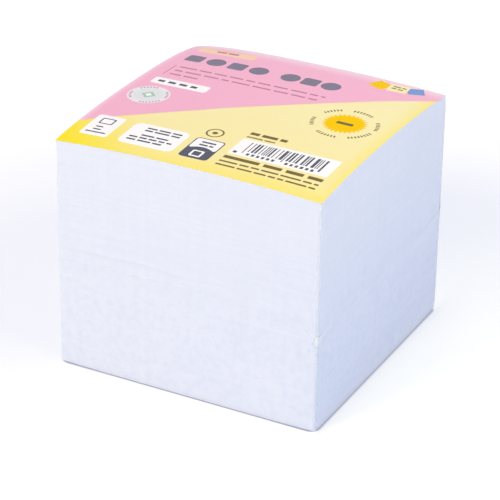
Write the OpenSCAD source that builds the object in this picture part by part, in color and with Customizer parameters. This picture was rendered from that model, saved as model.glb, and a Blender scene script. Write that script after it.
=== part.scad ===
// Refill block for a memo cube: a stack of loose white sheets under a printed cover sheet,
// wrapped tight in clear shrink film. The film pulls the corners of the top sheets down and
// those of the lowest sheets up, so the top is domed and the block rests on its flat middle.
// Z is up, the front is -Y, and the origin is on the table under the middle of the block.

/* [Sheets] */
// Width of a sheet, from left to right
sheet_w = 90; // [60:1:120]
// Depth of a sheet, from front to back
sheet_d = 90; // [60:1:120]
// Loose sheets in the stack
sheet_count = 700; // [300:10:1000]
// Height that one sheet takes up in the stack, measured at the corners
sheet_pitch = 0.1095; // [0.08:0.0005:0.14]
// Radius that the pull of the film leaves on the upright corners
corner_r = 0.6; // [0.2:0.1:3]

/* [Domed top] */
// Rise of the front and back top edges, halfway between their corners
rise_x = 1.4; // [0:0.1:4]
// Rise of the left and right top edges, halfway between their corners
rise_y = 2.3; // [0:0.1:4]
// How much lower the middle of the top lies than the two rises added together
middle_sink = 1; // [0:0.1:1.5]
// Power of the fall towards the corners, where a higher one falls later and faster
fall_power = 2.4; // [2:0.1:4]
// How much further the film pulls down the far left corner than the other three
far_drop = 1; // [0:0.1:2]

/* [Lifted lower corners] */
// Lift of the lowest sheets at the corners
corner_lift = 0.3; // [0:0.1:2]
// Share of the way to the corners that lies flat, before the lift begins
flat_share = 0.35; // [0.2:0.05:0.7]
// Power of the lift towards the corners
lift_power = 3; // [2:0.5:6]

/* [Cover sheet] */
// Thickness of the printed cover sheet
cover_t = 0.15; // [0.05:0.01:0.5]

/* [Shrink film] */
// Thickness of the shrunk film
film_t = 0.05; // [0.03:0.01:0.2]
// Width of the welded bead along the seam
bead_w = 0.9; // [0.4:0.1:2]
// How far the bead stands out of the film
bead_stand = 0.3; // [0.1:0.05:0.8]
// Width of the flap of trimmed film that lies flat above the bead
flap_w = 4; // [2:0.5:8]
// Thickness of the flap
flap_t = 0.12; // [0.05:0.01:0.4]
// Reach of a pinched film ear along the sides, from its upright corner
ear_w = 1.8; // [1:0.1:4]
// How far a pinched film ear stands out of its upright corner
ear_stand = 0.7; // [0.2:0.1:2]

/* [Seam line] */
// Drop of the seam below half the block's height, at the left end of the front
seam_drop_start = 2; // [0:0.25:6]
// Drop of the seam in the middle of the front
seam_drop_front = 0.5; // [0:0.25:6]
// Drop of the seam at the near right corner, where the film is pulled together
seam_drop_near = 8.5; // [0:0.25:12]
// Drop of the seam in the middle of the right side
seam_drop_right = 4.5; // [0:0.25:8]
// Drop of the seam at the far right corner
seam_drop_far = 1; // [0:0.25:6]
// Drop of the seam in the middle of the back, and at the end of it
seam_drop_back = 2; // [0:0.25:6]

/* [Hidden] */

half_w = sheet_w / 2;
half_d = sheet_d / 2;
stack_h = sheet_count * sheet_pitch;
seam_mid = stack_h / 2;

// Stretches that a side's length is divided into, and those of an upright corner
side_steps = 12;
arc_steps = 4;
// Rings from the middle of the top or bottom to its edge, closer together near the edge
ring_count = 8;
ring_power = 1.5;
smallest_ring = 0.04;
// Power with which the top drops further towards the far left corner
far_power = 6;
// Power with which the seam leaves its middle height towards a corner
seam_power = 6;
// Shares of an ear's stand at the two ends of the corner's arc, and at the top of the flap
ear_foot_share = 0.35;
ear_top_share = 0.3;

function hump(t) = 1 - pow(min(abs(t), 1), fall_power);
// Height of the domed top above its corners, at a point of a sheet
function dome(p) =
    let (hx = hump(p.x / half_w),
         hy = hump(p.y / half_d),
         far = min(max(0, -p.x / half_w) * max(0, p.y / half_d), 1))
    rise_x * hx + rise_y * hy - middle_sink * hx * hy - far_drop * pow(far, far_power);
// Height of the lowest sheet above the table, at a point of a sheet
function lift(p) =
    let (reach = min(abs(p.x / half_w), 1) * min(abs(p.y / half_d), 1))
    corner_lift * pow(max(0, (reach - flat_share) / (1 - flat_share)), lift_power);

// Places along a side of a given length, starting at an upright corner: the reach of an ear
// from each end, and even steps between them
function stations(length) = concat(
    [0, ear_w],
    [for (i = [1 : side_steps - 1]) ear_w + (length - 2 * ear_w) * i / side_steps],
    [length - ear_w]);

// One side of the outline and the upright corner at its end, for a sheet made larger by grow.
// Each point is [x, y, outward x, outward y, side, share of the way along the side, share of
// the way round the corner].
// The sides are 0 front, 1 right, 2 back and 3 left.
function side_points(side, grow) =
    let (along = side % 2 == 0 ? half_w : half_d,
         out = side % 2 == 0 ? half_d : half_w,
         turn = 90 * side,
         run = 2 * (along - corner_r))
    concat(
        [for (s = stations(run))
            let (p = turned([s - run / 2, -out - grow], turn), n = turned([0, -1], turn))
            [p.x, p.y, n.x, n.y, side, s / run, 0]],
        [for (i = [0 : arc_steps - 1])
            let (a = -90 + 90 * i / arc_steps,
                 n = turned([cos(a), sin(a)], turn),
                 p = turned([along - corner_r, -out + corner_r], turn) + (corner_r + grow) * n)
            [p.x, p.y, n.x, n.y, side, 1, i / arc_steps]]);
function turned(p, angle) =
    [p.x * cos(angle) - p.y * sin(angle), p.x * sin(angle) + p.y * cos(angle)];
function outline(grow) = [for (side = [0 : 3]) each side_points(side, grow)];

function ring_share(i) = smallest_ring + (1 - smallest_ring) * (1 - pow(1 - i / ring_count, ring_power));
// Rings of a face, from its middle outwards, at the heights that the top or the lift gives
function top_rings(z) = [for (i = [0 : ring_count])
    [for (q = outline(0)) let (p = ring_share(i) * [q.x, q.y]) [p.x, p.y, z + dome(p)]]];
function low_rings(z) = [for (i = [0 : ring_count])
    [for (q = outline(0)) let (p = ring_share(i) * [q.x, q.y]) [p.x, p.y, z + lift(p)]]];
function backwards(list) = [for (i = [len(list) - 1 : -1 : 0]) list[i]];

// A closed solid through rings that all have as many points, first widening and then, from the
// ring with the number turn_at, narrowing. A point in the middle of each end closes it.
module skin(rings, turn_at) {
    n = len(rings[0]);
    last = len(rings) - 1;
    function at(i, j) = 1 + i * n + j % n;
    points = concat(
        [[0, 0, rings[0][0].z]],
        [for (ring = rings) each ring],
        [[0, 0, rings[last][0].z]]);
    faces = concat(
        [for (j = [0 : n - 1]) [0, at(0, j), at(0, j + 1)]],
        [for (i = [0 : last - 1], j = [0 : n - 1]) each i < turn_at
            ? [[at(i, j), at(i + 1, j), at(i, j + 1)],
               [at(i + 1, j), at(i + 1, j + 1), at(i, j + 1)]]
            : [[at(i, j), at(i + 1, j), at(i + 1, j + 1)],
               [at(i, j), at(i + 1, j + 1), at(i, j + 1)]]],
        [for (j = [0 : n - 1]) [len(points) - 1, at(last, j + 1), at(last, j)]]);
    polyhedron(points = points, faces = faces, convexity = 4);
}

// Solid between a lower face and an upper one
module slab(low, high) {
    skin(concat(low, backwards(high)), len(low) - 1);
}

// Height of the seam at a point of the outline
function between(share, start, middle, end) =
    middle + (start - middle) * pow(1 - share, seam_power) + (end - middle) * pow(share, seam_power);
function seam_z(q) =
    seam_mid - (
        q[4] == 0 ? between(q[5], seam_drop_start, seam_drop_front, seam_drop_near)
        : q[4] == 1 ? between(q[5], seam_drop_near, seam_drop_right, seam_drop_far)
        : q[4] == 2 ? between(q[5], seam_drop_far, seam_drop_back, seam_drop_back)
        : between(q[5], seam_drop_back, seam_drop_back, seam_drop_start));
// The film is folded on the left side, so the seam fades out there
function seam_share(q) = q[4] < 3 ? 1 : 0;
// The ears are pinched out of the two upright corners on the right, most halfway round them
function ear_share(q) =
    (q[4] == 0 || q[4] == 1) && q[5] == 1 ? ear_foot_share + (1 - ear_foot_share) * sin(180 * q[6])
    : (q[4] == 1 || q[4] == 2) && q[5] == 0 ? ear_foot_share
    : 0;

// Ring of the film's side, at a height above the seam and standing out by a bead or flap
function seam_ring(above, stand, ear) = [for (q = outline(film_t))
    let (d = stand * seam_share(q) + ear * ear_share(q))
    [q.x + d * q[2], q.y + d * q[3], seam_z(q) + above]];

module sheet_stack() {
    color([0.95, 0.96, 0.98])
    slab(low_rings(film_t), top_rings(film_t + stack_h));
}

module cover_sheet() {
    under = film_t + stack_h;
    color([0.98, 0.89, 0.42])
    slab(top_rings(under), top_rings(under + cover_t));
}

module shrink_film() {
    inner_top = film_t + stack_h + cover_t;
    low_edge = [for (q = outline(film_t)) [q.x, q.y, film_t + lift(q)]];
    high_edge = [for (q = outline(film_t)) [q.x, q.y, inner_top + dome(q)]];
    sides = [
        low_edge,
        seam_ring(-bead_w / 2, 0, 0),
        seam_ring(0, bead_stand, ear_stand),
        seam_ring(bead_w / 2, flap_t, ear_stand),
        seam_ring(flap_w, flap_t, ear_stand * ear_top_share),
        seam_ring(flap_w + bead_w / 2, 0, 0),
        high_edge];
    low = concat(low_rings(0), sides);
    color([0.86, 0.91, 1, 0.35])
    difference() {
        skin(concat(low, backwards(top_rings(inner_top + film_t))), len(low) - 1);
        slab(low_rings(film_t), top_rings(inner_top));
    }
}

sheet_stack();
cover_sheet();
shrink_film();
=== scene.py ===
import math
import random
from collections import namedtuple

import bpy
import numpy as np
from mathutils import Matrix, Vector, geometry


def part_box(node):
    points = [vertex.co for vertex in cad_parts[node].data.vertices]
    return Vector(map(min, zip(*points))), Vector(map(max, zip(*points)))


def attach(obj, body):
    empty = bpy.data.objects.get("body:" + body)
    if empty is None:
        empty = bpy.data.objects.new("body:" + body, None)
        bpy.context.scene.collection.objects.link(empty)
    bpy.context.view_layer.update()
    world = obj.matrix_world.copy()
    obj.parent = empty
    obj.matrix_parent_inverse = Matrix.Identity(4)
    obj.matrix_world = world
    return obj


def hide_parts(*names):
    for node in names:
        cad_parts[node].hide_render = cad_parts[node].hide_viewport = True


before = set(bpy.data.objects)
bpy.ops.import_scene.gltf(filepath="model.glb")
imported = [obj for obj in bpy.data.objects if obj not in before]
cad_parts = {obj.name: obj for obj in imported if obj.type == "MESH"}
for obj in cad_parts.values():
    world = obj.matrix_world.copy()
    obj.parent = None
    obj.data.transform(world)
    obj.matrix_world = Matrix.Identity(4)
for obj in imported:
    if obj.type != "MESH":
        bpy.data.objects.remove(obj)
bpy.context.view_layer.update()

MM = 0.001
BODY = "root"

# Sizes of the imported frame. The flat middle of the stack's underside is its lowest part.
stack_low, stack_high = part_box("sheet_stack")
cover_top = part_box("cover_sheet")[1].z
film_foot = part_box("shrink_film")[0].z
HALF = stack_high.x
FILM_T = stack_low.z - film_foot
COVER_T = cover_top - stack_high.z

# The dome of the top and the lift of the lower corners, as in the part's source
RISE_X = 1.4 * MM
RISE_Y = 2.3 * MM
MIDDLE_SINK = 1.0 * MM
FALL_POWER = 2.4
FAR_DROP = 1.0 * MM
FAR_POWER = 6
CORNER_LIFT = 0.3 * MM
FLAT_SHARE = 0.35
LIFT_POWER = 3
CORNER_R = 0.6 * MM
DOME_H = RISE_X + RISE_Y - MIDDLE_SINK
STACK_H = stack_high.z - stack_low.z - DOME_H


def hump(t):
    return 1 - np.minimum(np.abs(t), 1) ** FALL_POWER


def dome(x, y):
    """How far the domed top stands above its corners."""
    hx, hy = hump(x / HALF), hump(y / HALF)
    far = np.minimum(np.maximum(0, -x / HALF) * np.maximum(0, y / HALF), 1)
    return RISE_X * hx + RISE_Y * hy - MIDDLE_SINK * hx * hy - FAR_DROP * far ** FAR_POWER


def dome_normals(x, y):
    """Upward directions square to the domed top."""
    tiny = 0.01 * MM
    across = (dome(x + tiny, y) - dome(x - tiny, y)) / (2 * tiny)
    along = (dome(x, y + tiny) - dome(x, y - tiny)) / (2 * tiny)
    upright = np.stack([-across, -along, np.ones_like(across)], 1)
    return upright / np.linalg.norm(upright, axis=1)[:, None]


def lift(x, y):
    """How far the lowest sheet is lifted off the table."""
    reach = np.minimum(np.abs(x / HALF), 1) * np.minimum(np.abs(y / HALF), 1)
    return CORNER_LIFT * np.maximum(0, (reach - FLAT_SHARE) / (1 - FLAT_SHARE)) ** LIFT_POWER


# Mesh helpers

def add_object(name, verts, faces, materials, slots=None, smooth=False):
    """A mesh object from arrays, with one material slot number a face."""
    mesh = bpy.data.meshes.new(name)
    mesh.from_pydata([tuple(v) for v in verts], [], [tuple(f) for f in faces])
    for material in materials:
        mesh.materials.append(material)
    if slots is not None:
        mesh.polygons.foreach_set("material_index", np.asarray(slots, np.int32))
    mesh.polygons.foreach_set("use_smooth", [smooth] * len(mesh.polygons))
    mesh.update()
    obj = bpy.data.objects.new(name, mesh)
    bpy.context.scene.collection.objects.link(obj)
    return obj


def store_values(obj, name, domain, values):
    """Stores one number for each point or face, for the material to read."""
    layer = obj.data.attributes.new(name, "FLOAT", domain)
    layer.data.foreach_set("value", np.asarray(values, np.float32))


def face_corners(obj):
    """The point's number at every corner of every face, one face after another."""
    found = np.zeros(len(obj.data.loops), np.int32)
    obj.data.loops.foreach_get("vertex_index", found)
    return found


def point_places(obj):
    found = np.zeros(3 * len(obj.data.vertices), np.float32)
    obj.data.vertices.foreach_get("co", found)
    return found.reshape(-1, 3)


def outline(half, radius, stations, arc_steps):
    """Points round a square with rounded corners, from the left end of the front.

    Each row is a place, its outward direction, its side and the share of the way along that side,
    or past 1 round the corner that ends it. The sides are 0 front, 1 right, 2 back and 3 left.
    """
    rows = []
    run = 2 * (half - radius)
    for side in range(4):
        turn = math.radians(90 * side)
        c, s = math.cos(turn), math.sin(turn)

        def turned(x, y):
            return x * c - y * s, x * s + y * c

        for t in stations:
            rows.append((*turned(t * run - run / 2, -half), *turned(0, -1), side, t))
        for i in range(1, arc_steps):
            a = math.radians(-90 + 90 * i / arc_steps)
            nx, ny = math.cos(a), math.sin(a)
            place = turned(half - radius + radius * nx, -half + radius + radius * ny)
            rows.append((*place, *turned(nx, ny), side, 1 + i / arc_steps))
    return np.array(rows)


def ring_faces(n, rings):
    """Quads between rings of n points each, facing outwards where the rings rise."""
    i, j = np.meshgrid(np.arange(rings - 1), np.arange(n), indexing="ij")
    a = i * n + j
    b = i * n + (j + 1) % n
    return np.stack([a, b, b + n, a + n], -1).reshape(-1, 4)


def end_faces(n, rings):
    """The two faces that close the first ring, facing down, and the last one, facing up."""
    last = (rings - 1) * n
    return [list(range(n - 1, -1, -1)), list(range(last, last + n))]


def shares(count, power=1.5, smallest=0.03):
    """Sizes of the rings of a face as shares of its outline, from the middle outwards."""
    t = np.arange(count) / (count - 1)
    return smallest + (1 - smallest) * (1 - (1 - t) ** power)


# Material helpers

def linear(r, g, b):
    """A colour given as it looks on screen, from 0 to 255, in the numbers that shaders use."""
    def one(v):
        v /= 255
        return v / 12.92 if v <= 0.04045 else ((v + 0.055) / 1.055) ** 2.4
    return one(r), one(g), one(b), 1.0


class Nodes:
    """Short names for building the nodes of one material, or of the sky."""

    def __init__(self, holder, output="ShaderNodeOutputMaterial"):
        holder.use_nodes = True
        self.holder = holder
        self.tree = holder.node_tree
        self.tree.nodes.clear()
        self.output = self.add(output)

    def add(self, kind, **settings):
        node = self.tree.nodes.new(kind)
        for key, value in settings.items():
            setattr(node, key, value)
        return node

    def link(self, source, target):
        self.tree.links.new(source, target)

    def feed(self, socket, value):
        if isinstance(value, bpy.types.NodeSocket):
            self.link(value, socket)
        else:
            socket.default_value = value

    def math(self, operation, a, b=0.0):
        node = self.add("ShaderNodeMath", operation=operation)
        self.feed(node.inputs[0], a)
        self.feed(node.inputs[1], b)
        return node.outputs[0]

    def plus(self, a, b):
        return self.math("ADD", a, b)

    def minus(self, a, b):
        return self.math("SUBTRACT", a, b)

    def times(self, a, b):
        return self.math("MULTIPLY", a, b)

    def larger(self, a, b):
        return self.math("MAXIMUM", a, b)

    def mix(self, factor, a, b):
        node = self.add("ShaderNodeMix", data_type="RGBA")
        self.feed(node.inputs["Factor"], factor)
        self.feed(node.inputs["A"], a)
        self.feed(node.inputs["B"], b)
        return node.outputs["Result"]

    def ramp(self, value, low, high, top=1.0):
        """0 up to low, top from high on, and smooth between them."""
        node = self.add("ShaderNodeMapRange", interpolation_type="SMOOTHSTEP")
        self.feed(node.inputs["Value"], value)
        node.inputs["From Min"].default_value = low
        node.inputs["From Max"].default_value = high
        node.inputs["To Max"].default_value = top
        return node.outputs["Result"]

    def length(self, x, y):
        """Length of the flat vector with these two parts."""
        both = self.add("ShaderNodeCombineXYZ")
        self.feed(both.inputs[0], x)
        self.feed(both.inputs[1], y)
        node = self.add("ShaderNodeVectorMath", operation="LENGTH")
        self.link(both.outputs[0], node.inputs[0])
        return node.outputs["Value"]

    def parts(self, place="Object"):
        """The three parts of the point's place on the object, or of another coordinate of it."""
        split = self.add("ShaderNodeSeparateXYZ")
        self.link(self.add("ShaderNodeTexCoord").outputs[place], split.inputs[0])
        return split.outputs[0], split.outputs[1], split.outputs[2]

    def noise(self, scale, stretch=(1, 1, 1), detail=2.0, roughness=0.5):
        mapping = self.add("ShaderNodeMapping")
        mapping.inputs["Scale"].default_value = stretch
        self.link(self.add("ShaderNodeTexCoord").outputs["Object"], mapping.inputs["Vector"])
        node = self.add("ShaderNodeTexNoise")
        self.link(mapping.outputs["Vector"], node.inputs["Vector"])
        node.inputs["Scale"].default_value = scale
        node.inputs["Detail"].default_value = detail
        node.inputs["Roughness"].default_value = roughness
        return node.outputs["Fac"]

    def attribute(self, name):
        return self.add("ShaderNodeAttribute", attribute_name=name).outputs["Fac"]

    def seen(self):
        """1 for what the camera, gloss and glass show, and 0 for light that is thrown back."""
        path = self.add("ShaderNodeLightPath")
        camera, glossy = path.outputs["Is Camera Ray"], path.outputs["Is Glossy Ray"]
        return self.larger(self.larger(camera, glossy), path.outputs["Is Transmission Ray"])

    def bump(self, height, strength, distance):
        node = self.add("ShaderNodeBump")
        node.inputs["Strength"].default_value = strength
        node.inputs["Distance"].default_value = distance
        self.link(height, node.inputs["Height"])
        return node.outputs["Normal"]

    def blend(self, share, under, over):
        """A shader that shows this share of over, and under for the rest."""
        node = self.add("ShaderNodeMixShader")
        self.link(share, node.inputs[0])
        self.link(under.outputs[0], node.inputs[1])
        self.link(over.outputs[0], node.inputs[2])
        return node

    def end(self, shader):
        self.link(shader.outputs[0], self.output.inputs["Surface"])
        return self.holder

    def paper(self, colour, roughness, shine, normal):
        """Ends the material as paper of this colour."""
        shader = self.add("ShaderNodeBsdfPrincipled")
        self.link(colour, shader.inputs["Base Color"])
        shader.inputs["Roughness"].default_value = roughness
        shader.inputs["Specular IOR Level"].default_value = shine
        self.link(normal, shader.inputs["Normal"])
        return self.end(shader)


# Paper stack: every sheet has its own edge, a little out of line with its neighbours

STACK_SEED = 7
SHEETS = 700
SHEET_STATIONS = np.arange(13) / 12
SHEET_ARC_STEPS = 3
CAP_RINGS = 9
# Room inside the solid's edges for the sheets that lie out of line
SHEET_INSET = 0.13 * MM
# How far the sheets drift and scatter, and the most that they turn, in radians
DRIFT = 0.05 * MM
SCATTER = 0.016 * MM
TWIST = 0.0004
# Shares of the slow and the quick drift, and the sheets that each kind of change takes
SLOW_SHARE, QUICK_SHARE = 0.7, 0.3
SLOW_RUN_X, QUICK_RUN_X = 38, 7
SLOW_RUN_Y, QUICK_RUN_Y = 31, 6
TWIST_RUN = 24
# Powers with which the lift fades and the dome grows towards the top
LIFT_FADE = 5
DOME_GROWTH = 2
# Tones from 0, dark, to 1, light: of the faces and the edges, with the spread from sheet to sheet
# and from group to group, the sheets in a long and a short group, and the few darker sheets
FACE_TONE = 0.5
EDGE_TONE = 0.6
TONE_SPREAD = 0.16
GROUP_SPREAD = 0.02
LONG_GROUP, SHORT_GROUP = 45, 9
DARK_SHEETS = 12
DARKER_BY = 0.16


def sheet_height(x, y, share):
    """Height of a sheet at this share of the way up: flat in the middle and domed at the top."""
    lifted = lift(x, y) * (1 - share) ** LIFT_FADE
    return stack_low.z + lifted + STACK_H * share + dome(x, y) * share ** DOME_GROWTH


def smooth_walk(rng, run):
    """A number between -1 and 1 for each sheet, with a new one every run sheets."""
    knots = rng.uniform(-1, 1, SHEETS // run + 3)
    return np.interp(np.arange(SHEETS) / run, np.arange(len(knots)), knots)


def sheet_drift(rng, slow_run, quick_run):
    """How far each sheet drifts in one direction."""
    slow = smooth_walk(rng, slow_run) * DRIFT * SLOW_SHARE
    return slow + smooth_walk(rng, quick_run) * DRIFT * QUICK_SHARE


def sheet_offsets(rng):
    """How far each sheet lies off the middle, and its turn."""
    drift_x = sheet_drift(rng, SLOW_RUN_X, QUICK_RUN_X)
    drift_y = sheet_drift(rng, SLOW_RUN_Y, QUICK_RUN_Y)
    dx = drift_x + rng.uniform(-1, 1, SHEETS) * SCATTER
    dy = drift_y + rng.uniform(-1, 1, SHEETS) * SCATTER
    turn = smooth_walk(rng, TWIST_RUN) * TWIST
    return dx, dy, turn


def sheet_tones(rng):
    """How light each sheet's edge looks, in groups of sheets that were cut or fanned together."""
    groups = smooth_walk(rng, LONG_GROUP) * GROUP_SPREAD + smooth_walk(rng, SHORT_GROUP) * GROUP_SPREAD
    tones = EDGE_TONE + groups + rng.uniform(-1, 1, SHEETS) * TONE_SPREAD
    for k in rng.choice(SHEETS, DARK_SHEETS, replace=False):
        tones[k] -= DARKER_BY
    return tones.clip(0, 1)


def face_ring(edge, size, share):
    """A ring inside the edge of the lowest or the highest sheet."""
    x, y = edge[:, 0] * size, edge[:, 1] * size
    return np.stack([x, y, sheet_height(x, y, share)], 1)


def build_stack(material):
    """Two rings of points for each sheet, at its foot and its top, so that every edge shows."""
    rng = np.random.default_rng(STACK_SEED)
    columns = outline(HALF - SHEET_INSET, CORNER_R, SHEET_STATIONS, SHEET_ARC_STEPS)
    n = len(columns)
    dx, dy, turn = sheet_offsets(rng)
    rings = []
    for k in range(SHEETS):
        x = columns[:, 0] * math.cos(turn[k]) - columns[:, 1] * math.sin(turn[k]) + dx[k]
        y = columns[:, 0] * math.sin(turn[k]) + columns[:, 1] * math.cos(turn[k]) + dy[k]
        rings.append(np.stack([x, y, sheet_height(x, y, k / SHEETS)], 1))
        rings.append(np.stack([x, y, sheet_height(x, y, (k + 1) / SHEETS)], 1))
    sizes = shares(CAP_RINGS)[:-1]
    low = [face_ring(rings[0], s, 0.0) for s in sizes]
    high = [face_ring(rings[-1], s, 1.0) for s in sizes[::-1]]
    rings = low + rings + high
    faces = ring_faces(n, len(rings)).tolist() + end_faces(n, len(rings))
    obj = add_object("paper_stack", np.concatenate(rings), faces, [material])
    tone = np.full(len(faces), FACE_TONE)
    wall = np.repeat(np.arange(SHEETS), 2)[:-1]
    first = len(low) * n
    tone[first:first + len(wall) * n] = np.repeat(sheet_tones(rng)[wall], n)
    store_values(obj, "sheet_tone", "FACE", tone)
    map_stack(obj, n, len(low), len(rings))
    return obj


def map_stack(obj, n, low, rings):
    """A flat map of the stack: its sides in two rows of two, and below them both faces, small."""
    cell_w, cell_h = 0.5, 0.44
    foot = 0.12
    face_size = 0.11
    face_fill, side_fill = 0.98, 0.99
    walls = 2 * SHEETS - 1
    quads = (rings - 1) * n
    places = point_places(obj)[face_corners(obj)]
    flat = places[:, :2] / (2 * HALF) + 0.5
    on_top = places[:, 2] > stack_low.z + STACK_H / 2
    beside = np.where(on_top, face_size, 0.0)[:, None] * np.array([1.0, 0.0])
    uv = flat * face_size * face_fill + beside
    ring, column, corner = np.meshgrid(np.arange(rings - 1), np.arange(n), np.arange(4), indexing="ij")
    per_side = n // 4
    side = column // per_side
    across = (column % per_side + np.isin(corner, (1, 2))) / per_side
    upward = (ring - low + (corner > 1)) / walls
    u = (side % 2 + across * side_fill) * cell_w
    v = foot + (side // 2 + upward * side_fill) * cell_h
    on_side = np.stack([u, v], -1)
    wall = (ring >= low) & (ring < low + walls)
    head = uv[:4 * quads].reshape(rings - 1, n, 4, 2)
    head[wall] = on_side[wall]
    layer = obj.data.uv_layers.new(name="OFBake")
    layer.data.foreach_set("uv", uv.astype(np.float32).ravel())


def paper_edges():
    """White paper seen on its cut edges, with the faint upright streaks that a guillotine leaves."""
    m = Nodes(bpy.data.materials.new("cut_paper"))
    streaks = m.noise(420, stretch=(1, 1, 0.012), detail=3.0, roughness=0.6)
    cloud = m.noise(55, stretch=(1, 1, 1.6), detail=3.0)
    mottle = m.noise(430, detail=4.0, roughness=0.65)
    grain = m.noise(2600)
    colour = m.mix(m.attribute("sheet_tone"), linear(239, 242, 253), linear(251, 252, 255))
    colour = m.mix(m.ramp(streaks, 0.30, 0.75, 0.10), colour, linear(224, 230, 248))
    colour = m.mix(m.ramp(cloud, 0.35, 0.75, 0.10), colour, linear(226, 232, 250))
    # The mottle is faint in the upper sheets and grows downwards
    _, _, z = m.parts()
    strength = m.plus(0.05, m.ramp(z, 0.8 * STACK_H, 0.25 * STACK_H, 0.15))
    colour = m.mix(m.times(m.ramp(mottle, 0.42, 0.66), strength), colour, linear(218, 226, 246))
    colour = m.mix(m.ramp(grain, 0.40, 0.80, 0.12), colour, linear(220, 226, 244))
    height = m.plus(m.times(grain, 0.6), m.times(streaks, 0.4))
    return m.paper(colour, roughness=0.88, shine=0.1, normal=m.bump(height, 0.25, 0.05 * MM))


# Printed cover sheet. Every field of ink is a set of real faces. Its sizes and places are in
# millimetres on the sheet, from the middle of it: x to the right and y to the back.

COVER_SEED = 11
COVER_HALF = HALF / MM
COVER_STATIONS = np.arange(37) / 36
COVER_ARC_STEPS = 4
COVER_CELL = 2.5
CUT_TOLERANCE = 1e-4
# Where the line between pink and yellow meets the left and the right edge
SPLIT_LEFT = -31.5
SPLIT_RIGHT = 37.5
# The plain inks as they look on screen
PLAIN_INKS = {
    "white": (254, 251, 254),
    "pearl": (236, 232, 238),
    "mist": (226, 229, 233),
    "grey": (133, 128, 149),
    "mauve": (196, 138, 164),
    "slate": (94, 97, 112),
    "brown": (124, 108, 68),
    "gold": (252, 203, 2),
    "peach": (251, 213, 184),
    "blue": (128, 160, 214),
    "leaf": (176, 204, 190),
}
INKS = ("pink", "yellow", *PLAIN_INKS)
PALE_INKS = ("white", "pearl", "mist")
# How strongly the paper's grain shows through them, and how dark it is against the ink
PALE_SPECKLE, SPECKLE = 0.03, 0.05
INK_DARKER = 0.86
# Scales of the grain and of the wider clouds in it, and the noise values between which they grow
GRAIN_SCALE, CLOUD_SCALE = 1500, 45
GRAIN_RANGE = (0.35, 0.7)


def rectangle(x0, y0, x1, y1):
    return [(x0, y0), (x1, y0), (x1, y1), (x0, y1)]


def rounded(x0, y0, x1, y1, r, steps=5):
    """A rectangle with round corners."""
    points = []
    corners = ((x1 - r, y0 + r), (x1 - r, y1 - r), (x0 + r, y1 - r), (x0 + r, y0 + r))
    for (cx, cy), start in zip(corners, (-90, 0, 90, 180)):
        for i in range(steps + 1):
            a = math.radians(start + 90 * i / steps)
            points.append((cx + r * math.cos(a), cy + r * math.sin(a)))
    return points


def disc(cx, cy, r, steps=36):
    points = []
    for i in range(steps):
        a = 2 * math.pi * i / steps
        points.append((cx + r * math.cos(a), cy + r * math.sin(a)))
    return points


def tilted(cx, cy, size, angle):
    """A square turned by some degrees."""
    a = math.radians(angle)
    c, s = math.cos(a) * size / 2, math.sin(a) * size / 2
    return [(cx - c + s, cy - s - c), (cx + c + s, cy + s - c),
            (cx + c - s, cy + s + c), (cx - c - s, cy - s + c)]


def arched(x0, x1, y0, y_side, y_middle, steps=12):
    """A field with a flat foot and a top that bows up to its middle."""
    points = [(x0, y0), (x1, y0)]
    for i in range(steps + 1):
        t = 1 - 2 * i / steps
        y = y_side + (y_middle - y_side) * (1 - t * t)
        points.append(((x0 + x1) / 2 + t * (x1 - x0) / 2, y))
    return points


def burst(cx, cy, outer, inner, spikes):
    points = []
    for i in range(2 * spikes):
        r = outer if i % 2 == 0 else inner
        a = math.pi * i / spikes
        points.append((cx + r * math.cos(a), cy + r * math.sin(a)))
    return points


def bar_row(x0, x1, y, height, rng, shortest, longest, gap):
    """A row of plain bars of mixed lengths."""
    bars = []
    x = x0
    while x < x1 - shortest / 2:
        length = min(rng.uniform(shortest, longest), x1 - x)
        bars.append(rectangle(x, y - height / 2, x + length, y + height / 2))
        x += length + gap
    return bars


def mark_row(centres, y, size, square_first):
    """A row of plain marks, squares and discs in turn."""
    corner = 0.9
    disc_share = 0.56
    marks = []
    for i, x in enumerate(centres):
        if (i % 2 == 0) == square_first:
            marks.append(rounded(x - size / 2, y - size / 2, x + size / 2, y + size / 2, corner))
        else:
            marks.append(disc(x, y, size * disc_share))
    return marks


def upright_bars(x0, x1, y0, y1, rng):
    """Upright bars of mixed widths. Those at both ends and in the middle hang lower."""
    module = 0.34
    widths = (1, 1, 2, 2, 3)
    drop = 1.3
    middle = (x0 + x1) / 2
    bars = []
    x = x0
    while x < x1 - module:
        width = module * rng.choice(widths)
        hangs = x - x0 < 3 * module or x1 - x < 5 * module or abs(x - middle) < 2 * module
        bars.append(rectangle(x, y0 - (drop if hangs else 0), min(x + width, x1), y1))
        x += width + module * rng.choice(widths)
    return bars


def ring_dashes(cx, cy, r, height, groups, in_group, rng):
    """Short dashes round a circle, in groups with a wider space between them."""
    between_groups = 2
    dash_share = 0.52
    missing = (0, 0, 1, 2)
    places = in_group + between_groups
    slot = 2 * math.pi / (groups * places)
    low, high = r - height / 2, r + height / 2
    dashes = []
    for g in range(groups):
        count = in_group - rng.choice(missing)
        for i in range(count):
            a = (g * places + i) * slot
            b = a + slot * dash_share
            corners = ((low, a), (high, a), (high, b), (low, b))
            dashes.append([(cx + q * math.cos(t), cy + q * math.sin(t)) for q, t in corners])
    return dashes


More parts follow.
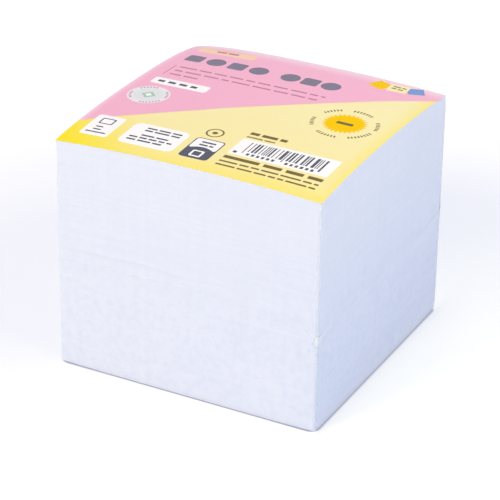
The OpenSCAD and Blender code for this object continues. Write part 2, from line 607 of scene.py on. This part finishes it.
def pink_area(rng):
    """A tag, two rows of marks, three rows of bars beside a thin line, and a small label."""
    yield "peach", [rounded(-41.2, 36.3, -20.2, 41.2, 1.2)]
    yield "mauve", bar_row(-34.5, -26.5, 38.8, 1.5, rng, 3.2, 4.2, 0.6)
    y, size = 28.7, 5.9
    yield "grey", mark_row((-37.2, -29.4, -21.6, -13.8), y, size, True)
    yield "grey", mark_row((-2.4, 4.8, 12.0), y, size, False)
    yield "mauve", [rectangle(-39.7, 11.2, -39.35, 20.2)]
    left, right = -37.7, 14.6
    yield "mauve", bar_row(left, right, 19.4, 1.0, rng, 2.4, 6.5, 1.1)
    yield "mauve", bar_row(left, right, 16.0, 1.0, rng, 2.4, 6.5, 1.1)
    yield "mauve", bar_row(left, -27.6, 12.6, 1.0, rng, 4.0, 9.5, 1.0)
    yield "white", [rounded(-40, 3.4, -20, 8.4, 1.0)]
    yield "slate", bar_row(-38, -22, 5.9, 1.5, rng, 2.2, 4.6, 1.3)


def pale_disc(rng):
    """A pale disc with a ring of dashes and a green diamond."""
    x, y = -34.9, -5.8
    yield "pearl", [disc(x, y, 6.9)]
    yield "mauve", ring_dashes(x, y, 5.9, 0.8, 4, 7, rng)
    yield "mist", [disc(x, y, 4.7)]
    yield "leaf", [tilted(x, y, 3.6, 45)]
    yield "white", [tilted(x, y, 1.7, 45)]


def left_labels(rng):
    """Two white labels with bars."""
    yield "white", [rounded(-40.8, -38.4, -31.2, -25, 1.0)]
    yield "slate", [rounded(-38.5, -30.6, -33.7, -26.8, 0.5)]
    yield "white", [rounded(-38.0, -30.1, -34.2, -27.3, 0.3)]
    for y in (-32.6, -34.4):
        yield "slate", bar_row(-37.9, -34.4, y, 0.7, rng, 1.5, 3.4, 0.5)
    yield "slate", [rectangle(-39.5, -36.6, -32.6, -35.9)]
    yield "white", [rounded(-27.3, -39.0, -8.4, -25.2, 2.2)]
    rows = ((-27.6, -22.5, -10.5), (-29.3, -22.5, -10.5), (-32.4, -22.0, -12.0),
            (-34.2, -25.2, -10.6), (-36.0, -25.2, -11.6))
    for y, x0, x1 in rows:
        yield "slate", bar_row(x0, x1, y, 0.85, rng, 1.8, 5.0, 0.7)


def two_tone_box(rng):
    """A box in two tones, with a ring above it."""
    x, y = -2.6, -21.4
    yield "brown", [disc(x, y, 2.9)]
    yield "yellow", [disc(x, y, 2.35)]
    yield "brown", [disc(x, y, 0.9)]
    yield "slate", [rounded(-5.9, -39.2, 3.9, -26.0, 1.3)]
    yield "white", [rounded(-5.5, -33.0, 3.5, -26.4, 1.0)]
    yield "slate", [arched(-5.7, 3.7, -34.0, -33.6, -31.6)]
    yield "slate", bar_row(-3.2, 1.6, -28.4, 0.9, rng, 3.8, 4.8, 0.5)
    yield "slate", bar_row(-3.2, 1.6, -30.3, 0.9, rng, 2.0, 3.0, 0.5)
    yield "white", [rounded(-3.0, -38.0, 1.0, -34.0, 0.6)]
    yield "slate", [rounded(-2.3, -37.3, 0.3, -34.7, 0.3)]


def right_label(rng):
    """A white label with upright bars and short dashes, and rows of bars above and below it."""
    left, right = 7.0, 39.8
    yield "brown", bar_row(left, 19.4, -16.4, 1.7, rng, 2.4, 5.5, 0.9)
    yield "brown", bar_row(left, 18.2, -19.0, 0.7, rng, 2.4, 5.5, 0.5)
    yield "white", [rounded(6.8, -31.4, right, -20.5, 0.4)]
    yield "slate", upright_bars(10.6, 36.6, -28.2, -22.0, rng)
    y, height = -29.7, 1.4
    yield "slate", bar_row(8.0, 9.2, y, height, rng, 1.0, 1.2, 0.5)
    yield "slate", bar_row(12.4, 22.4, y, height, rng, 0.9, 1.0, 0.75)
    yield "slate", bar_row(25.2, 35.2, y, height, rng, 0.9, 1.0, 0.75)
    yield "brown", bar_row(left, right, -33.7, 1.7, rng, 4.5, 13.0, 1.4)
    yield "brown", bar_row(left, right, -36.6, 0.85, rng, 1.8, 7.0, 0.7)
    yield "brown", bar_row(left, right, -38.9, 0.85, rng, 1.8, 7.0, 0.7)


def golden_burst(rng):
    """A golden burst with a bar, inside a ring of dashes."""
    x, y = 28.7, 4.0
    yield "gold", [burst(x, y, 7.3, 5.9, 28)]
    yield "brown", [rounded(25.9, 3.2, 31.5, 4.9, 0.4)]
    yield "brown", ring_dashes(x, y, 10.2, 1.25, 6, 8, rng)


def small_sheets(rng):
    """Three small tilted sheets at the back right, with two rows of bars."""
    yield "blue", [tilted(36.2, 40.6, 5.4, 28)]
    yield "gold", [tilted(24.6, 39.2, 6.0, -24)]
    yield "yellow", [tilted(30.6, 39.6, 6.6, 6)]
    yield "brown", bar_row(28.4, 32.8, 40.8, 0.8, rng, 2.0, 2.6, 0.5)
    yield "brown", bar_row(28.4, 32.4, 39.0, 0.8, rng, 1.6, 2.4, 0.5)


def cover_fields():
    """The fields of ink from the lowest to the highest, as pairs of an ink and an outline."""
    rng = random.Random(COVER_SEED)
    past_edge = 1
    h = COVER_HALF + past_edge
    slope = (SPLIT_RIGHT - SPLIT_LEFT) / (2 * COVER_HALF)
    left, right = SPLIT_LEFT - slope * past_edge, SPLIT_RIGHT + slope * past_edge
    fields = [
        ("pink", [(-h, left), (h, right), (h, h), (-h, h)]),
        ("yellow", [(-h, -h), (h, -h), (h, right), (-h, left)]),
    ]
    areas = (pink_area, pale_disc, left_labels, two_tone_box, right_label, golden_burst, small_sheets)
    for area in areas:
        for ink, shapes in area(rng):
            fields.extend((ink, shape) for shape in shapes)
    return fields


def cut_face():
    """The sheet's face in flat triangles cut along the outlines of all the fields, and their inks."""
    edge = outline(COVER_HALF, CORNER_R / MM, COVER_STATIONS, COVER_ARC_STEPS)[:, :2]
    points = [Vector(p) for p in edge]
    outlines = [list(range(len(points)))]
    inside = np.arange(-COVER_HALF + COVER_CELL / 2, COVER_HALF, COVER_CELL)
    points += [Vector((x, y)) for x in inside for y in inside]
    fields = cover_fields()
    for _, shape in fields:
        outlines.append(list(range(len(points), len(points) + len(shape))))
        points += [Vector(p) for p in shape]
    found = geometry.delaunay_2d_cdt(points, [], outlines, 1, CUT_TOLERANCE)
    places, triangles, owners = found[0], found[2], found[5]
    kept = []
    slots = []
    # The sheet's own outline has number 0, and the highest field over a triangle gives its ink
    for triangle, owner in zip(triangles, owners):
        if 0 in owner and len(owner) > 1:
            kept.append(triangle)
            slots.append(INKS.index(fields[max(owner) - 1][0]))
    used, tops = np.unique(np.array(kept), return_inverse=True)
    tops = tops.reshape(-1, 3)
    flat = np.array([(p.x, p.y) for p in places])[used]
    a, b, c = (flat[tops[:, i]] for i in range(3))
    area = (b[:, 0] - a[:, 0]) * (c[:, 1] - a[:, 1]) - (b[:, 1] - a[:, 1]) * (c[:, 0] - a[:, 0])
    tops[area < 0] = tops[area < 0][:, ::-1]
    return flat, tops, slots


def build_cover(inks, underside):
    """Lays the cut face on the dome and closes it with an underside and an edge."""
    flat, tops, slots = cut_face()
    x, y = flat[:, 0] * MM, flat[:, 1] * MM
    z = stack_high.z - DOME_H + dome(x, y)
    n = len(flat)
    verts = np.concatenate([np.stack([x, y, z + COVER_T], 1), np.stack([x, y, z], 1)])
    sides = {(t[i], t[(i + 1) % 3]) for t in tops.tolist() for i in range(3)}
    rim = sorted((p, q) for p, q in sides if (q, p) not in sides)
    faces = tops.tolist() + (tops[:, ::-1] + n).tolist() + [[p + n, q + n, q, p] for p, q in rim]
    slots = slots + [len(INKS)] * (len(tops) + len(rim))
    materials = [inks[name] for name in INKS] + [underside]
    obj = add_object("printed_cover", verts, faces, materials, slots, True)
    # The normals follow the dome and not the triangles, so that the fields show no facets
    upright = dome_normals(x, y)
    face_end = 3 * len(tops)
    top, under, edge = np.split(face_corners(obj), [face_end, 2 * face_end])
    normals = np.concatenate([upright[top], -upright[under - n], rim_normals(obj, edge)])
    obj.data.normals_split_custom_set(normals.tolist())
    return obj


def rim_normals(obj, corners):
    """Outward directions of the sheet's edge, level and away from its middle."""
    places = point_places(obj)[corners]
    inner = COVER_HALF * MM - CORNER_R
    away = places - np.clip(places, -inner, inner)
    away[:, 2] = 0
    return away / np.linalg.norm(away, axis=1)[:, None]


def paper_grain(m, share):
    """The fine grain of paper, and a ramp of it up to this share."""
    grain = m.noise(GRAIN_SCALE, detail=3.0)
    return grain, m.ramp(grain, *GRAIN_RANGE, share)


def end_ink(m, colour, grain):
    """Ends the material as ink with a satin face."""
    return m.paper(colour, roughness=0.6, shine=0.02, normal=m.bump(grain, 0.15, 0.02 * MM))


def plain_ink(name, colour, speckle):
    """An even field of ink on paper, with the faint grain of the paper under it."""
    m = Nodes(bpy.data.materials.new(name))
    darker = tuple(c * INK_DARKER for c in colour[:3]) + (1.0,)
    grain, grained = paper_grain(m, speckle)
    clouded = m.ramp(m.noise(CLOUD_SCALE), *GRAIN_RANGE, speckle)
    return end_ink(m, m.mix(m.plus(grained, clouded), colour, darker), grain)


def pink_ink_with_painted_light():
    """Pink ink with painted light: lighter towards the back, where the dome's top tilts away from the
    lamps, and paler along the back and left edges as a painted reflection of the film's gloss.
    """
    m = Nodes(bpy.data.materials.new("ink_pink_painted_light"))
    x, y, _ = m.parts()
    edge = 45 * MM
    # Painted light: lighter towards the back, where the dome's top tilts away from the lamps
    colour = m.mix(m.ramp(y, -edge, edge), linear(244, 181, 208), linear(248, 187, 213))
    # Painted reflection of the film's gloss along the back and left edges
    back = m.ramp(y, 38 * MM, 46 * MM, 0.85)
    left = m.ramp(x, -42.5 * MM, -45.5 * MM, 0.6)
    colour = m.mix(m.larger(back, left), colour, linear(248, 228, 241))
    grain, grained = paper_grain(m, 0.10)
    return end_ink(m, m.mix(grained, colour, linear(236, 168, 200)), grain)


def yellow_ink_with_painted_light():
    """Yellow ink with painted light: a painted sheen of the film pales the middle and falls away at the
    left front corner and a little along the front and right edges, where the ink shows strong.
    """
    m = Nodes(bpy.data.materials.new("ink_yellow_painted_light"))
    x, y, _ = m.parts()
    edge = 45 * MM
    # Painted sheen: it falls away towards the left front corner and the front and right edges
    away = m.plus(m.times(m.plus(x, edge), 0.8), m.plus(y, edge))
    corner = m.ramp(away, 44 * MM, 1 * MM)
    front = m.ramp(y, -34 * MM, -45.5 * MM, 0.5)
    right = m.ramp(x, 39 * MM, 46 * MM, 0.42)
    strong = m.larger(corner, m.larger(front, right))
    # Painted light: the pale middle gets lighter towards the back, where the dome's top tilts away from
    # the lamps
    pale = m.mix(m.ramp(y, -edge, 30 * MM), linear(248, 235, 172), linear(251, 240, 187))
    colour = m.mix(strong, pale, linear(251, 229, 40))
    grain, grained = paper_grain(m, 0.08)
    return end_ink(m, m.mix(grained, colour, linear(240, 222, 150)), grain)


def make_inks():
    inks = {"pink": pink_ink_with_painted_light(), "yellow": yellow_ink_with_painted_light()}
    for name, colour in PLAIN_INKS.items():
        speckle = PALE_SPECKLE if name in PALE_INKS else SPECKLE
        inks[name] = plain_ink("ink_" + name, linear(*colour), speckle)
    return inks


def plain_paper():
    m = Nodes(bpy.data.materials.new("white_paper"))
    grain, grained = paper_grain(m, 0.2)
    colour = m.mix(grained, linear(246, 247, 252), linear(232, 236, 246))
    return m.paper(colour, roughness=0.8, shine=0.2, normal=m.bump(grain, 0.2, 0.03 * MM))


# Shrink film: a thin closed skin with its seam, the flap above it, puckers and two pinched ears

FILM_SEED = 5
SIDE_STEPS = 120
ARC_STEPS = 5
FACE_RINGS = 14
FACE_POWER = 1.6
# The inner face lies this share of the film's thickness off the paper
INNER_SHARE = 0.2
# Drops of the seam below the middle height, at the ends and in the middle of the sides
SEAM_MID = STACK_H / 2
DROP_START, DROP_FRONT, DROP_NEAR = 2.0 * MM, 0.5 * MM, 8.5 * MM
DROP_RIGHT, DROP_FAR, DROP_BACK = 4.5 * MM, 1.0 * MM, 2.0 * MM
SEAM_POWER = 6
# How clearly the seam shows on the front, the right and the back. It is folded under at the left,
# and fades out towards that side, as every crease does towards the film's edges.
SEAM_CLEAR = np.array([1.0, 0.24, 0.7, 0.0])
FOLD_FADE = 5 * MM
EDGE_FADE = 2 * MM
# The welded bead, and how much of it shows from place to place
BEAD_STAND = 0.18 * MM
BEAD_HALF = 0.32 * MM
LEAST_CLEAR, MIDDLE_CLEAR, CLEAR_SWING = 0.12, 0.55, 0.8
BEAD_SWING = 0.2
# The flap, which stands out more where the bead shows less, and its lip
FLAP_W = 4.0 * MM
FLAP_STAND = 0.09 * MM
FLAP_MOST = 1.2
FLAP_FOOT = 0.2 * MM
FLAP_SOFT = 0.12 * MM
FLAP_SWING = 0.12
LIP_HALF = 0.35 * MM
# The puckers along the seam
PUCKER_STAND = 0.02 * MM
PUCKER_REACH = 2.2 * MM
PUCKER_FALL = 1.5
# Haze of each of these, where 2 is fully milky
BEAD_HAZE, FLAP_HAZE, LIP_HAZE, PUCKER_HAZE = 0.32, 0.04, 0.05, 0.03
# The ridge along a corner, and its least share far from the ear
RIDGE_HALF = 0.45 * MM
RIDGE_RUN = 14 * MM
RIDGE_LEAST = 0.35
RIDGE_SWING = 0.08
# The creases that fan out of an ear: their reach, where they begin, how many and how sharp they
# are, and their strength to the right of the corner
CREASE_REACH = 7 * MM
CREASE_EDGE = 0.3 * MM
CREASE_FOOT = 0.2 * MM
CREASE_WAVES = 9
CREASE_START = 0.6
CREASE_POWER = 4
RIGHT_CREASES = 0.4
RIDGE_HAZE, KNOT_HAZE, CREASE_HAZE = 1.3, 7.0, 3 / MM
KNOT_FALL = 3
MOST_STAND = 0.68 * MM
MOST_HAZE = 1.8
# Fewest and most waves round the film, for each thing that varies along it
WAVE_SPANS = {
    "flap": (4, 14),
    "pucker": (120, 260),
    "bead": (60, 170),
    "ridge": (20, 60),
    "clear": (4, 9),
}
WAVE_HEIGHT = 0.55
# Heights of the film's rows above the seam, close together near it, and those of the outermost
# rows as shares of the way to the film's edges
NEAR_ROWS = np.concatenate([np.arange(-1.2, 1.3, 0.15), np.arange(1.5, 4.9, 0.3), [5.2, 5.8, 6.6]]) * MM
END_ROWS = np.array([0.0, 0.12, 0.3, 0.5, 0.7, 0.85, 0.95])

# A pinched ear: its stand, the place of its highest point round the corner from the left and
# above the seam, its width and height, and the stand of the ridge and of the creases beside it
Ear = namedtuple("Ear", "stand across above width height ridge crease")
NEAR_EAR = Ear(stand=0.66 * MM, across=1.6 * MM, above=0.9 * MM, width=2.8 * MM, height=2.6 * MM,
               ridge=0.16 * MM, crease=0.06 * MM)
FAR_EAR = Ear(stand=0.30 * MM, across=0.4 * MM, above=-0.2 * MM, width=0.9 * MM, height=1.8 * MM,
              ridge=0.08 * MM, crease=0.04 * MM)


def between(share, start, middle, end):
    """A value that leaves middle only close to the start or the end."""
    return middle + (start - middle) * (1 - share) ** SEAM_POWER + (end - middle) * share ** SEAM_POWER


def seam_height(side, share):
    """Height of the seam at a share of the way along a side."""
    drops = ((DROP_START, DROP_FRONT, DROP_NEAR), (DROP_NEAR, DROP_RIGHT, DROP_FAR),
             (DROP_FAR, DROP_BACK, DROP_BACK), (DROP_BACK, DROP_BACK, DROP_START))
    return SEAM_MID - between(min(share, 1.0), *drops[side])


def film_waves(around):
    """Three waves for each thing that varies along the film: height, length and start."""
    rng = random.Random(FILM_SEED)
    return {name: [(WAVE_HEIGHT, around / rng.randint(*span), rng.random()) for _ in range(3)]
            for name, span in WAVE_SPANS.items()}


def ripple(s, waves):
    """A sum of a few waves along the film's edge, mostly between -1 and 1."""
    return sum(a * np.sin(2 * math.pi * (s / w + p)) for a, w, p in waves)


def step_up(t):
    """Soft step from 0 to 1."""
    return 1 / (1 + np.exp(-t / FLAP_SOFT))


def seam_stand(s, h, seam, waves):
    """Stand and haze of bead, flap and puckers at a place s along the sides, h above the seam."""
    edge = FLAP_W * (1 + FLAP_SWING * ripple(s, waves["flap"]))
    clear = np.clip(MIDDLE_CLEAR + CLEAR_SWING * ripple(s, waves["clear"]), LEAST_CLEAR, 1)
    bead = np.exp(-(h / BEAD_HALF) ** 2)
    on_flap = step_up(h - FLAP_FOOT) * step_up(edge - h)
    lip = np.exp(-((h - edge) / LIP_HALF) ** 2)
    near = np.exp(-(np.abs(h) / PUCKER_REACH) ** PUCKER_FALL)
    pucker = near * (0.5 + 0.5 * ripple(s, waves["pucker"])) ** 2
    uneven = 1 - BEAD_SWING + BEAD_SWING * ripple(s, waves["bead"])
    stand = BEAD_STAND * clear * bead * uneven + PUCKER_STAND * pucker
    stand += FLAP_STAND * on_flap * (FLAP_MOST - clear)
    haze = BEAD_HAZE * clear * bead + FLAP_HAZE * on_flap + LIP_HAZE * lip + PUCKER_HAZE * pucker
    return seam * stand, seam * haze


def slope(t):
    """Rises evenly from 0 at -1 to 1 at 0, and falls off KNOT_FALL times as fast after it."""
    return np.clip(1 + t, 0, 1) * np.clip(1 - KNOT_FALL * t, 0, 1)


def ear_stand(d, h, ear, waves):
    """Stand and haze that an ear adds at a place d past its corner and h above the seam."""
    fold = np.exp(-(d / RIDGE_HALF) ** 2)
    ridge = fold * (RIDGE_LEAST + (1 - RIDGE_LEAST) * np.exp(-np.abs(h) / RIDGE_RUN))
    uneven = 1 - RIDGE_SWING + RIDGE_SWING * ripple(h, waves["ridge"])
    # The knot rises away from the corner and downwards, and ends there in a short drop
    knot = slope((d - ear.across) / ear.width) * slope((ear.above - h) / ear.height)
    share = np.where(d < -CREASE_EDGE, 1.0, np.where(d > CREASE_EDGE, RIGHT_CREASES, 0.0))
    angle = np.arctan2(h, np.abs(d) + CREASE_FOOT)
    crease = np.maximum(0, np.cos(angle * CREASE_WAVES + CREASE_START)) ** CREASE_POWER
    crease = np.exp(-np.hypot(d, h) / CREASE_REACH) * share * crease
    stand = ear.ridge * ridge * uneven + ear.stand * knot + ear.crease * crease
    haze = RIDGE_HAZE * fold + KNOT_HAZE * knot + CREASE_HAZE * ear.crease * crease
    return stand, haze


def film_columns():
    """The outline of the film, with its columns closer together near the corners."""
    t = np.arange(SIDE_STEPS + 1) / SIDE_STEPS
    even = 0.25
    stations = even * t + (1 - even) * (1 - np.cos(math.pi * t)) / 2
    return outline(HALF, CORNER_R, stations, ARC_STEPS)


def signed_gap(s, corner, around):
    """Distance along the edge from a corner, the short way round."""
    return (s - corner + around / 2) % around - around / 2


def film_skin(columns, gap):
    """Rings of one face of the film, gap outside the paper, with their haze and their number.

    They run from the middle of the underside to that of the top. Both faces follow every crease,
    so that the film keeps its thickness.
    """
    x, y, nx, ny = columns[:, 0], columns[:, 1], columns[:, 2], columns[:, 3]
    side, share = columns[:, 4].astype(int), columns[:, 5]
    step = np.hypot(np.roll(x, -1) - x, np.roll(y, -1) - y)
    s = np.concatenate([[0], np.cumsum(step)[:-1]])
    around = step.sum()
    waves = film_waves(around)
    near, far = (s[np.flatnonzero((side == k) & (share > 1))].mean() for k in (0, 1))
    ears = ((signed_gap(s, near, around), NEAR_EAR), (signed_gap(s, far, around), FAR_EAR))
    seam_z = np.array([seam_height(a, b) for a, b in zip(side, share)])
    # The seam fades out towards both ends of the left side
    seam = SEAM_CLEAR[side]
    for end in (s[0], s[np.flatnonzero(side == 3)[0]]):
        seam = seam * np.clip(np.abs(signed_gap(s, end, around)) / FOLD_FADE, 0, 1)
    base = stack_low.z - gap
    top = cover_top - DOME_H + gap
    low_z = stack_low.z + lift(x, y)
    high_z = top - gap + dome(x, y)
    heights = [low_z + (seam_z + NEAR_ROWS[0] - low_z) * e for e in END_ROWS]
    heights += [seam_z + r for r in NEAR_ROWS]
    heights += [high_z - (high_z - seam_z - NEAR_ROWS[-1]) * e for e in END_ROWS[::-1]]
    sizes = shares(FACE_RINGS, FACE_POWER)
    clear = [np.zeros(len(x))] * FACE_RINGS
    rings = [np.stack([x * k, y * k, base + lift(x * k, y * k)], 1) for k in sizes]
    hazes = list(clear)
    for z in heights:
        h = z - seam_z
        stand, haze = seam_stand(s, h, seam, waves)
        for d, ear in ears:
            more_stand, more_haze = ear_stand(d, h, ear, waves)
            stand = stand + more_stand
            haze = haze + more_haze
        fade = np.clip(np.minimum(z - low_z, high_z - z) / EDGE_FADE, 0, 1)
        out = gap + np.minimum(stand, MOST_STAND) * fade
        rings.append(np.stack([x + nx * out, y + ny * out, z], 1))
        hazes.append(haze * fade)
    rings += [np.stack([x * k, y * k, top + dome(x * k, y * k)], 1) for k in sizes[::-1]]
    hazes += clear
    return np.concatenate(rings), np.concatenate(hazes), len(rings)


def build_film(material):
    columns = film_columns()
    n = len(columns)
    outer, haze, rings = film_skin(columns, FILM_T)
    inner, _, _ = film_skin(columns, FILM_T * INNER_SHARE)
    count = len(outer)
    out_faces = ring_faces(n, rings)
    caps = end_faces(n, rings)
    faces = out_faces.tolist() + caps
    faces += (out_faces[:, ::-1] + count).tolist() + [[v + count for v in cap[::-1]] for cap in caps]
    obj = add_object("film_wrap", np.concatenate([outer, inner]), faces, [material], None, True)
    haze = np.concatenate([haze.clip(0, MOST_HAZE), np.zeros(count)])
    store_values(obj, "haze", "POINT", haze)
    store_values(obj, "outside", "POINT", np.repeat([1.0, 0.0], count))
    return obj


def clear_film():
    """Clear film: what is behind it shows through under a soft gloss, and creases are milky."""
    glance_power, glance_most, glance_least = 10.0, 0.5, 0.001
    milk_share = 0.5
    m = Nodes(bpy.data.materials.new("clear_film"))
    see = m.add("ShaderNodeBsdfTransparent")
    gloss = m.add("ShaderNodeBsdfGlossy")
    gloss.inputs["Roughness"].default_value = 0.12
    milk = m.add("ShaderNodeBsdfDiffuse")
    milk.inputs["Color"].default_value = linear(253, 254, 255)
    # The slant is the same for both faces, but only the outer one has a gloss
    slant = m.add("ShaderNodeLayerWeight")
    slant.inputs["Blend"].default_value = 0.5
    steep = m.math("POWER", slant.outputs["Facing"], glance_power)
    glance = m.plus(m.times(steep, glance_most), glance_least)
    skin = m.blend(m.times(glance, m.attribute("outside")), see, gloss)
    return m.end(m.blend(m.times(m.attribute("haze"), milk_share), skin, milk))


# Studio: a white floor that keeps soft shadows, three soft lamps and a cool sky

FLOOR_SIZE = 8.0
# Colours in which the floor throws light back, in the open and in a painted shade close to the right
# side, and in which the camera sees it, with the distances at which that painted shade begins and ends
FLOOR_BOUNCE = (0.62, 0.72, 0.86, 1)
FLOOR_PAINTED_SHADE = (0.38, 0.56, 0.87, 1)
FLOOR_SEEN = (0.45, 0.43, 0.30, 1)
SHADE_FROM, SHADE_FULL = 40 * MM, 60 * MM
SHADE_KEEP, SHADE_END = 0.10, 0.20
# The glow that the camera sees on top of that, left and right of the object and further off. The
# glow is lower at the left and back than at the front right: painted shade on the floor
SHADED_LEFT_GLOW = (0.52, 0.544, 0.72, 1)
LIGHTER_RIGHT_GLOW = (0.64, 0.664, 0.77, 1)
FAR_GLOW = (0.82, 0.82, 0.86, 1)
GLOW_RIGHT, GLOW_FRONT = 0.8, 0.5
GLOW_TURN = 45 * MM
GLOW_NEAR, GLOW_FAR = 0.10, 0.30
# The painted contact shadow, a dark line where the object meets the floor, and the painted soft
# shadow beside it at the right
CONTACT_SHADOW_COLOUR = (0.40, 0.43, 0.56, 1)
CONTACT_WIDTH = 0.9 * MM
CONTACT_ROUND = 3.0 * MM
TIGHT_SIDE_SHADOW, TIGHT_FADE = 0.15, 2.0 * MM
WIDE_SIDE_SHADOW, WIDE_FADE = 0.13, 12 * MM
SIDE_SHADOW_FROM, SIDE_SHADOW_FULL = 44 * MM, 46 * MM
SKY_LOW = (0.455, 0.42, 0.57, 1)
SKY_HIGH = (0.52, 0.565, 0.53, 1)
WHITE = (1, 1, 1, 1)
# Each lamp's name, its direction as parts to the right and the back and degrees up, its distance
# and size in metres, and the level of red, green and blue at which it lights a face square to it
LAMPS = (
    ("front_lamp", (-0.40, -0.92, 34), 1.5, 0.5, (0.455, 0.408, 0.335)),
    ("right_lamp", (0.985, -0.12, 43), 0.6, 0.4, (0.325, 0.31, 0.29)),
    ("back_lamp", (-0.6, 0.8, 25), 1.5, 2.0, (0.18, 0.18, 0.19)),
)


def painted_contact_shadow(m, x, y):
    """Mask of the painted shadows: 1 on the open floor, less in the painted soft shadow at the right,
    and 0 in the painted contact shadow where the object meets it.
    """
    half = HALF + FILM_T - CONTACT_ROUND
    beside = m.larger(m.minus(m.math("ABSOLUTE", x), half), 0.0)
    before = m.larger(m.minus(m.math("ABSOLUTE", y), half), 0.0)
    gap = m.minus(m.length(beside, before), CONTACT_ROUND)
    outside = m.larger(gap, 0.0)
    tight = m.times(m.math("EXPONENT", m.math("DIVIDE", outside, -TIGHT_FADE)), TIGHT_SIDE_SHADOW)
    wide = m.times(m.math("EXPONENT", m.math("DIVIDE", outside, -WIDE_FADE)), WIDE_SIDE_SHADOW)
    # Painted soft shadow beside the right side, with a close and a wide fade
    side_shadow = m.times(m.plus(tight, wide), m.ramp(x, SIDE_SHADOW_FROM, SIDE_SHADOW_FULL))
    return m.times(m.ramp(gap, 0, CONTACT_WIDTH), m.minus(1.0, side_shadow))


def floor_material():
    """White to the camera where it is lit, and greyer to the light that it throws back."""
    m = Nodes(bpy.data.materials.new("studio_floor"))
    seen = m.seen()
    x, y, _ = m.parts()
    out = m.length(x, y)
    # Painted shade: close to the right side the floor throws less warm light back, which darkens the
    # lower right face
    painted_shade = m.times(m.ramp(x, SHADE_FROM, SHADE_FULL), m.ramp(out, SHADE_END, SHADE_KEEP))
    diffuse = m.add("ShaderNodeBsdfDiffuse")
    bounce = m.mix(painted_shade, FLOOR_BOUNCE, FLOOR_PAINTED_SHADE)
    m.link(m.mix(seen, bounce, FLOOR_SEEN), diffuse.inputs["Color"])
    # Painted shade in the glow: lower at the left and back, higher at the front right
    toward = m.minus(m.times(x, GLOW_RIGHT), m.times(y, GLOW_FRONT))
    glow_with_painted_shade = m.mix(m.ramp(toward, -GLOW_TURN, GLOW_TURN), SHADED_LEFT_GLOW, LIGHTER_RIGHT_GLOW)
    glow = m.add("ShaderNodeEmission")
    m.link(m.mix(m.ramp(out, GLOW_NEAR, GLOW_FAR), glow_with_painted_shade, FAR_GLOW), glow.inputs["Color"])
    m.link(seen, glow.inputs["Strength"])
    total = m.add("ShaderNodeAddShader")
    m.link(diffuse.outputs[0], total.inputs[0])
    m.link(glow.outputs[0], total.inputs[1])
    # A dark glow that paints the contact shadow
    dark = m.add("ShaderNodeEmission")
    dark.inputs["Color"].default_value = CONTACT_SHADOW_COLOUR
    return m.end(m.blend(painted_contact_shadow(m, x, y), dark, total))


def build_floor():
    h = FLOOR_SIZE / 2
    corners = [(-h, -h, 0), (h, -h, 0), (h, h, 0), (-h, h, 0)]
    floor = add_object("floor", corners, [(0, 1, 2, 3)], [floor_material()])


def build_sky():
    """A cool sky to the light, and white to the camera and in gloss."""
    sky = bpy.data.worlds.new("sky")
    bpy.context.scene.world = sky
    m = Nodes(sky, "ShaderNodeOutputWorld")
    _, _, up = m.parts("Generated")
    back = m.add("ShaderNodeBackground")
    m.link(m.mix(m.seen(), m.mix(up, SKY_LOW, SKY_HIGH), WHITE), back.inputs["Color"])
    m.end(back)


def add_lamp(name, toward, distance, size, level):
    """A soft round lamp that lights a white face square to it at this level, where 1 is white."""
    x, y, elevation = toward
    e = math.radians(elevation)
    direction = Vector((x * math.cos(e), y * math.cos(e), math.sin(e))).normalized()
    data = bpy.data.lights.new(name, "AREA")
    data.shape = "DISK"
    data.size = size
    data.energy = math.pi ** 2 * distance ** 2
    data.color = level
    lamp = bpy.data.objects.new(name, data)
    lamp.location = direction * distance + AIM
    lamp.rotation_euler = direction.to_track_quat("Z", "Y").to_euler()
    bpy.context.scene.collection.objects.link(lamp)


# Camera, at the photograph's viewing angle

AZIMUTH, ELEVATION, ROLL = 27.41, 27.18, 0.84
DISTANCE = 724.0 * MM
AIM = Vector((0, 0, 40 * MM))
SHIFT_RIGHT, SHIFT_UP = -1.24 * MM, -8.37 * MM
FOCAL_PIXELS, FRAME_PIXELS, SENSOR = 2280.0, 500, 36.0


def build_camera():
    az, el, roll = math.radians(AZIMUTH), math.radians(ELEVATION), math.radians(ROLL)
    back = Vector((math.sin(az) * math.cos(el), -math.cos(az) * math.cos(el), math.sin(el)))
    level = Vector((math.cos(az), math.sin(az), 0))
    upright = back.cross(level)
    right = math.cos(roll) * level + math.sin(roll) * upright
    up = math.cos(roll) * upright - math.sin(roll) * level
    place = AIM + SHIFT_RIGHT * right + SHIFT_UP * up + DISTANCE * back
    data = bpy.data.cameras.new("camera")
    data.sensor_width = SENSOR
    data.lens = FOCAL_PIXELS / FRAME_PIXELS * SENSOR
    camera = bpy.data.objects.new("camera", data)
    rows = [[column[i] for column in (right, up, back, place)] for i in range(3)]
    camera.matrix_world = Matrix(rows + [[0, 0, 0, 1]])
    bpy.context.scene.collection.objects.link(camera)
    bpy.context.scene.camera = camera


# Scene

bpy.context.scene.view_settings.view_transform = "Standard"
build_camera()
build_floor()
build_sky()
for lamp in LAMPS:
    add_lamp(*lamp)

stack = build_stack(paper_edges())
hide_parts("sheet_stack")
cover = build_cover(make_inks(), plain_paper())
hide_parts("cover_sheet")
film = build_film(clear_film())
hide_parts("shrink_film")
for piece in (stack, cover, film):
    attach(piece, BODY)
